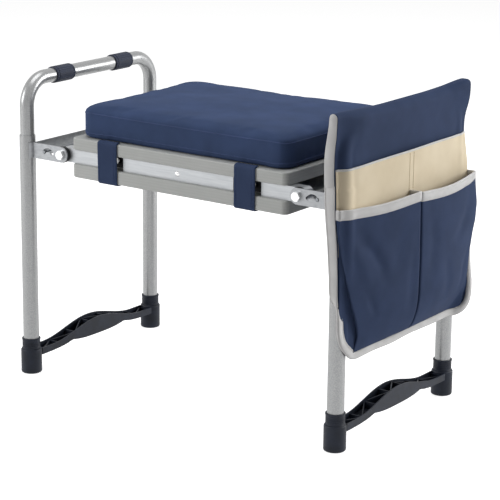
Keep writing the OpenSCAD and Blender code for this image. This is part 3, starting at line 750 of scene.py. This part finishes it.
def make_hood():
    rows = np.array([hood_line(y) for y in width_lines(73)])
    # slack between the bar and the pockets: long shallow hollows
    flat = rows.reshape(-1, 3)
    z, y = flat[:, 2], flat[:, 1]
    outer = flat[:, 0] > LEG_X + 4
    hollow = np.exp(-((z - 445) / 26) ** 2) * np.cos(y / 48.0) * 0.9
    flat[:, 0] += np.where(outer, hollow, 0)
    return cloth_panel("pouch_hood_cloth", rows, pouch_cloth, "pouch_cloth", "pouch_hood"), rows


def crease(y, z, line, width, depth):
    """Height of a soft fold along a line of (y, z) points, fading out at its two ends."""
    best = np.full(np.shape(y), 1e9)
    fade = np.zeros(np.shape(y))
    line = np.asarray(line, float)
    for i, (a, b) in enumerate(zip(line[:-1], line[1:])):
        along = b - a
        t = np.clip(((y - a[0]) * along[0] + (z - a[1]) * along[1]) / (along @ along), 0, 1)
        off = np.hypot(y - a[0] - t * along[0], z - a[1] - t * along[1])
        share = (i + t) / (len(line) - 1)
        closer = off < best
        best = np.where(closer, off, best)
        fade = np.where(closer, np.sin(math.pi * np.clip(share * 0.9 + 0.05, 0, 1)), fade)
    return depth * np.exp(-(best / width) ** 2) * fade


def edge_line(side, z):
    """The panel's front or rear edge at a height z, with the lower corner's turn."""
    y = side * HALF_W
    wide, high = (CORNER_FRONT if side < 0 else CORNER_REAR)
    low = LOW_Z + CLOTH
    if z < low + high:
        y = side * (HALF_W - wide * (1 - max(1 - ((low + high - z) / high) ** 2, 0.0) ** (1 / 2.2)))
    return float(panel_x(y, max(z, low))), y


def light_x(y, z):
    """The beige pocket's front: close to the panel at its ends and its seam, slack between them."""
    share = abs(y) / HALF_W
    up = smooth_step((z - LOW_Z - 3) / 60.0)
    slack = 1.6 + (5.4 * (1 - share ** 4) + 1.2 * math.cos(y / 30.0)) * up * (1 - share ** 6)
    return panel_x(y, z) + slack


def make_light_pocket():
    """The wide beige pocket: it hangs a little slack from its two ends."""
    lines = width_lines(61) * (HALF_W - 1.5) / HALF_W
    rows = []
    for y in lines:
        share = y / HALF_W
        top = LIGHT_TOP_Z + 0.5 - 2.5 * share ** 2
        # its lower corners are cut away behind the dark pockets
        low = bottom_z(y) + 2.0 + 112.0 * smooth_step((abs(y) - 96) / 62)
        rows.append([(float(light_x(y, z)), y, z) for z in np.linspace(low, top, 40)])
    rows = np.array(rows)
    made = cloth_panel("pouch_light_pocket_cloth", rows, light_cloth, "pouch_light_cloth", "pouch_light_pocket")
    return made, rows


# the front pocket's outer fold: depth, distance and height down its front end, which leaves the edge as it drops
FRONT_FOLD = np.array([(299.5, -173.0, 352), (299.0, -172.5, 325), (300.8, -169.0, 295), (303.0, -166.3, 279),
                       (306.0, -162.2, 258), (308.0, -158.5, 242), (310.0, -151.9, 219), (311.0, -144.3, 200),
                       (310.0, -135.9, 181), (308.0, -132.2, 168), (306.0, -134.1, 156), (303.5, -137.0, 148)])
REAR_FOLD = np.array([(320.5, 171.5, 354), (322.5, 171.0, 334), (326.0, 170.5, 308), (325.0, 169.5, 282),
                      (322.0, 168.0, 262), (321.0, 163.0, 235), (321.0, 158.0, 200), (319.0, 156.0, 176),
                      (313.0, 155.0, 160), (307.0, 154.0, 148)])


# columns of a dark pocket: the gusset and fold come first, then its front
FOLD_COLUMNS, FRONT_COLUMNS = 10, 46


def pocket_rows(side):
    """Rows of a dark pocket from its bottom to its top: edge, gusset, outer fold, front, inner fold and back."""
    fold = FRONT_FOLD if side < 0 else REAR_FOLD
    fold = fold[np.argsort(fold[:, 2])]
    rows = []
    base = LOW_Z + 12.0
    back = PANEL_X + 3.4
    for z in np.linspace(base, DARK_TOP_Z + (5.0 if side < 0 else 3.0), 56):
        x_edge, y_edge = edge_line(side, z)
        fx, fy = np.interp(z, fold[:, 2], fold[:, 0]), np.interp(z, fold[:, 2], fold[:, 1])
        rise = np.clip((z - base) / 62.0, 0, 1)
        deep = math.sqrt(1 - (1 - rise) ** 2)
        fx = back + (fx - back) * (1.0 if side < 0 else deep)
        swell = 2.0 * deep * math.sin(math.pi * np.clip((z - base) / 200, 0, 1))
        middle_x = back + (DARK_X - back) * deep + swell
        inner_y = side * 1.6
        row = []
        # the gusset dips behind the fold
        y_edge -= side * 1.5
        apart = abs(fy - y_edge)
        valley_x = min(max(x_edge, back), fx) + 0.6
        valley_y = fy - side * min(apart * 0.15, 5.0)
        for t in np.linspace(0, 1, 7)[:-1]:
            row.append((lerp(x_edge + 1.8, valley_x, t) - 1.2 * math.sin(math.pi * t) * min(apart / 20, 1),
                        lerp(y_edge, valley_y, t), z))
        for t in np.linspace(0, 1, 5)[:-1]:
            row.append((lerp(valley_x, fx, t ** 0.8), lerp(valley_y, fy, t) + side * 1.2 * math.sin(math.pi * t), z))
        for t in np.linspace(0, 1, FRONT_COLUMNS):
            belly = (3.6 if side < 0 else 5.5) * math.sin(math.pi * t) * deep * (0.45 + 0.55 * rise)
            row.append((lerp(fx, middle_x, t) + belly, lerp(fy, inner_y, t), z))
        for t in np.linspace(0, 1, 7)[1:]:
            row.append((lerp(middle_x, back, t), inner_y + side * (1.4 * math.sin(math.pi * t)), z))
        rows.append(row)
    rows = np.array(rows)
    y, z = rows[:, :, 1], rows[:, :, 2]
    # the creases fade out towards the outer fold and the seam between the pockets
    front = np.zeros(rows.shape[1])
    front[FOLD_COLUMNS:FOLD_COLUMNS + 48] = np.sin(np.linspace(0, math.pi, 48)) ** 0.35
    if side < 0:
        folds = (crease(y, z, [(-150, 345), (-126, 306), (-108, 291), (-90, 264), (-82, 241)], 10, -3.4)
                 + crease(y, z, [(-170, 337), (-143, 298), (-125, 263), (-112, 235)], 11, 2.0)
                 + crease(y, z, [(-121, 228), (-109, 208), (-103, 195)], 7, -1.6)
                 + crease(y, z, [(-40, 330), (-52, 280), (-48, 225)], 16, -1.4)
                 + crease(y, z, [(-8, 300), (-22, 230), (-20, 175)], 9, -1.6))
    else:
        folds = (crease(y, z, [(22, 335), (34, 280), (30, 215)], 12, -1.8)
                 + crease(y, z, [(150, 335), (128, 290), (96, 262)], 13, -2.2)
                 + crease(y, z, [(70, 250), (84, 210), (80, 178)], 12, -1.6)
                 + crease(y, z, [(158, 250), (140, 215), (132, 180)], 8, -1.8))
    rows[:, :, 0] += folds * front
    # the dark pocket lies over the light one
    for row in rows:
        for point in row[FOLD_COLUMNS:FOLD_COLUMNS + FRONT_COLUMNS]:
            point[0] = kept_over(point[0], light_x(point[1], point[2]) + 1.9)
    # the opening's edge sags a little between its two ends
    sag = 3.2 * np.sin(np.linspace(0, math.pi, FRONT_COLUMNS))
    opening = slice(FOLD_COLUMNS, FOLD_COLUMNS + FRONT_COLUMNS)
    rows[:, opening, 2] -= sag * smooth_step((z[:, opening] - (DARK_TOP_Z - 90)) / 90)
    return rows


def make_dark_pockets():
    made, grids = [], []
    for side, node in ((-1, "pouch_front_pocket"), (1, "pouch_rear_pocket")):
        grids.append(pocket_rows(side))
        made.append(cloth_panel(f"{node}_cloth", grids[-1], pouch_cloth, "pouch_cloth", node))
    return made, grids


def slab(width, thickness):
    """Section of a tape folded over an edge: it runs from a round lip at the edge to width across the cloth."""
    r = thickness / 2
    lip = [(r - r * math.cos(a), r * math.sin(a)) for a in np.linspace(-math.pi / 2, math.pi / 2, 6)]
    return np.array(lip + [(width - 0.5, r), (width, r - 0.5), (width, 0.5 - r), (width - 0.5, -r)])


def make_tapes(dark_tops, light_top):
    """Grosgrain tape folded over the pockets' edges, with its stitching."""
    bands, stitches = [], []
    up = np.array([0.0, 0.0, 1.0])
    for top in dark_tops:
        path = respaced(top, 4.0)
        outward = unit(np.cross(tangents(path), up))
        if outward[len(outward) // 2][0] < 0:
            path, outward = path[::-1], -outward[::-1]
        path[:, 2] += 0.25 * np.sin(np.arange(len(path)) / 5.0)
        bands.append(swept(path + up * 0.8, outward, slab(14.5, 3.0)))
        for drop in (2.6, 11.8):
            stitches.append(stitched(path + outward * 1.45 - up * drop, outward, 2.8, 1.2, 0.28))
    path = respaced(light_top, 4.0)
    outward = unit(np.cross(tangents(path), up))
    bands.append(swept(path + up * 0.6, outward, slab(3.0, 2.2)))
    return bands, stitches


def edge_route():
    """The pouch's edge from under the hood's front end, down, along the bottom and up the rear edge."""
    line = []
    for side, (wide, high) in ((-1, CORNER_FRONT), (1, CORNER_REAR)):
        heights = np.linspace(FLAP_LOW_Z + 3, LOW_Z + high, 44)
        part = [(panel_x(side * HALF_W, z), side * HALF_W, z) for z in heights]
        for a in np.linspace(0, math.pi / 2, 16)[1:]:
            y, z = side * (HALF_W - wide * (1 - math.cos(a))), LOW_Z + high * (1 - math.sin(a))
            part.append((panel_x(y, z), y, z))
        if side < 0:
            middle = np.linspace(CORNER_FRONT[0] - HALF_W, HALF_W - CORNER_REAR[0], 60)[1:-1]
            line = part + [(panel_x(y, LOW_Z), y, LOW_Z + 0.8 * math.sin(y / 19.0)) for y in middle]
        else:
            line += part[::-1]
    return respaced(line, 3.5)


def make_edge_tape():
    """The wide tape round the pouch: beside the leg at the front, folded flat over the panel along the bottom."""
    route = edge_route()
    along = tangents(route)
    front = (route[:, 1] < 0)[:, None]
    z = route[:, 2:]
    # how far the tape has turned from facing sideways to facing +X
    turned = np.where(front, smooth_step((245 - z) / 55), smooth_step((330 - z) / 60))
    on_panel = unit(np.cross(along, (1.0, 0, 0)))
    on_panel *= np.sign(np.sum(on_panel * (np.array([0, 0, 300.0]) - route), axis=1))[:, None]
    beside = np.where(front, [(-1.0, 0.0, 0.0)], [(-0.8, 0.6, 0.0)])
    across = unit(lerp(beside, on_panel, turned))
    outward = unit(np.cross(across, along))
    outward *= np.sign(np.sum(outward * np.where(front, [(1.0, -1.0, 0)], [(1.0, 1.0, 0)]), axis=1))[:, None]
    depth_front = np.interp(z[:, 0], [LOW_Z, 200, 228, 285, 363], [13, 12, 13, 14.5, 16])
    depth = np.where(front[:, 0], depth_front, np.interp(z[:, 0], [LOW_Z, 180, 230], [13, 11, 9]))
    half = lerp(1.2, 2.6, turned)
    centre = route + np.array([1.3, 0, 0]) * turned
    lip = [(1 - math.cos(a), math.sin(a)) for a in np.linspace(-math.pi / 2, math.pi / 2, 6)]
    section = np.array([[(r * x - 0.5, r * o) for x, o in lip] + [(d, r - 0.4), (d + 0.3, 0.0), (d, 0.4 - r)]
                        for d, r in zip(depth, half[:, 0])])
    rings = centre[:, None] + across[:, None] * section[:, :, :1] + outward[:, None] * section[:, :, 1:]
    rings += 0.25 * outward[:, None] * np.sin(np.arange(len(route)) / 3.3)[:, None, None]
    faces = grid_faces(*rings.shape[:2], closed=True) + end_faces(*rings.shape[:2])
    line = centre + across * (depth - 1.8)[:, None] + outward * (half + 0.05)
    return (rings.reshape(-1, 3), faces), stitched(line, outward, 2.8, 1.2, 0.28)


def make_hood_sides(rows):
    """The grey bands that close the two ends of the hood between its flap and its panel."""
    parts = []
    for side, index in ((-1, 0), (1, len(rows) - 1)):
        ring = rows[index]
        flap = ring[:15]
        panel = np.array([p for p in ring[31:] if p[2] >= FLAP_LOW_Z])
        heights = np.linspace(FLAP_LOW_Z, flap[-1][2], 16)
        grid = []
        for z in heights:
            a = np.interp(z, flap[:, 2], flap[:, 0])
            b = np.interp(z, panel[::-1, 2], panel[::-1, 0])
            grid.append([(lerp(a, b, t), side * (HALF_W + 0.4 + 1.6 * math.sin(math.pi * t)), z)
                         for t in np.linspace(0, 1, 9)])
        middle, half, crest, _ = hood_shape(side * HALF_W)
        centre_z = crest - half
        for a in np.radians(np.linspace(8, 84, 9)):
            grid.append([(middle - half * math.cos(a) * (1 - 2 * t),
                          side * (HALF_W + 0.4 + 1.6 * math.sin(math.pi * t) * math.cos(a)),
                          centre_z + half * math.sin(a)) for t in np.linspace(0, 1, 9)])
        grid = np.array(grid)
        parts.append((grid.reshape(-1, 3), grid_faces(*grid.shape[:2])))
    return parts


hood, hood_rows = make_hood()
light_pocket, light_rows = make_light_pocket()
dark_pockets, (front_rows, rear_rows) = make_dark_pockets()

tape_bands, tape_stitches = make_tapes((front_rows[-1], rear_rows[-1]), light_rows[:, -1])
points, faces = joined(tape_bands)
pocket_tapes = piece("pouch_pocket_tapes", points, faces, "right_frame", tape, "binding")
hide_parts("pouch_bindings")
edge_band, edge_stitches = make_edge_tape()
edge_tape = piece("pouch_edge_tape", *edge_band, "right_frame", tape, "binding")
points, faces = joined(make_hood_sides(hood_rows))
hood_sides = piece("pouch_hood_end_bands", points, faces, "right_frame", tape, "binding")
thick(hood_sides, 1.2)
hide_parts("pouch_side_bands")
points, faces = joined(tape_stitches + [edge_stitches])
piece("pouch_tape_stitching", points, faces, "right_frame", grey_thread, "binding")

seams = []
for y in (-6.0, 5.0):
    heights = np.linspace(LIGHT_TOP_Z - 3, DARK_TOP_Z - 12, 20)
    column = np.argmin(np.abs(light_rows[:, 0, 1] - y))
    depths = np.interp(heights, light_rows[column, :, 2], light_rows[column, :, 0]) + 0.75
    line = np.column_stack([depths, np.full(len(heights), y), heights])
    seams.append(stitched(line, np.tile([1.0, 0, 0], (len(line), 1)), 3.0, 1.2, 0.3))
points, faces = joined(seams)
piece("light_pocket_stitching", points, faces, "right_frame", pale_thread, "pouch_light_cloth")


# ---- stage, light and output ----


FLOOR_HALF, WHITE = 12, (1, 1, 1, 1)


def make_stage():
    """A white floor that shows only the object's shadow, and a white surround for the eye and for gloss."""
    mesh = bpy.data.meshes.new("floor")
    corners = [(x * FLOOR_HALF, y * FLOOR_HALF, 0) for x, y in ((-1, -1), (1, -1), (1, 1), (-1, 1))]
    mesh.from_pydata(corners, [], [(0, 1, 2, 3)])
    floor = bpy.data.objects.new("floor", mesh)
    bpy.context.scene.collection.objects.link(floor)
    floor.location.z = -0.5 * MM
    made = bpy.data.materials.new("white_floor")
    made.use_nodes = True
    tree = made.node_tree
    tree.nodes.clear()
    paint = add(tree, "BsdfDiffuse", {"Color": linear("e6e6e6")})
    glow = add(tree, "Emission", {"Color": WHITE, "Strength": 0.8})
    both = add(tree, "AddShader", (paint, glow))
    path = add(tree, "LightPath")
    seen = add(tree, "Math", ((path, "Is Camera Ray"), (path, "Is Glossy Ray")), operation="MAXIMUM")
    add(tree, "OutputMaterial", {"Surface": add(tree, "MixShader", (seen, paint, both))})
    mesh.materials.append(made)

    world = bpy.data.worlds.new("white_surround")
    bpy.context.scene.world = world
    world.use_nodes = True
    tree = world.node_tree
    tree.nodes.clear()
    path = add(tree, "LightPath")
    mirrored = add(tree, "Math", ((path, "Is Glossy Ray"), (path, "Is Transmission Ray")), operation="MAXIMUM")
    seen = add(tree, "Math", ((path, "Is Camera Ray"), mirrored), operation="MAXIMUM")
    surround = add(tree, "Background", {"Color": WHITE, "Strength": 1.0})
    ambient = add(tree, "Background", {"Color": WHITE, "Strength": 0.14})
    add(tree, "OutputWorld", {"Surface": add(tree, "MixShader", (seen, ambient, surround))})


def soft_box(name, place, target, size, power):
    """A square soft lamp at a place, turned to a target, that the camera doesn't see."""
    data = bpy.data.lights.new(name, "AREA")
    data.shape, data.size, data.energy = "SQUARE", size, power
    lamp = bpy.data.objects.new(name, data)
    bpy.context.scene.collection.objects.link(lamp)
    lamp.location = place
    lamp.rotation_euler = (Vector(target) - Vector(place)).to_track_quat("-Z", "Y").to_euler()
    lamp.visible_camera = False


make_stage()
SEAT_CENTRE = (0, 0, 0.3)
soft_box("right_soft_box", (2.1, 1.9, 1.1), SEAT_CENTRE, 1.5, 64)
soft_box("left_soft_box", (-2.1, -2.0, 1.2), SEAT_CENTRE, 1.5, 46)
soft_box("top_soft_box", (0.0, 0.0, 2.8), SEAT_CENTRE, 1.8, 34)

bpy.context.scene.view_settings.view_transform = "Standard"
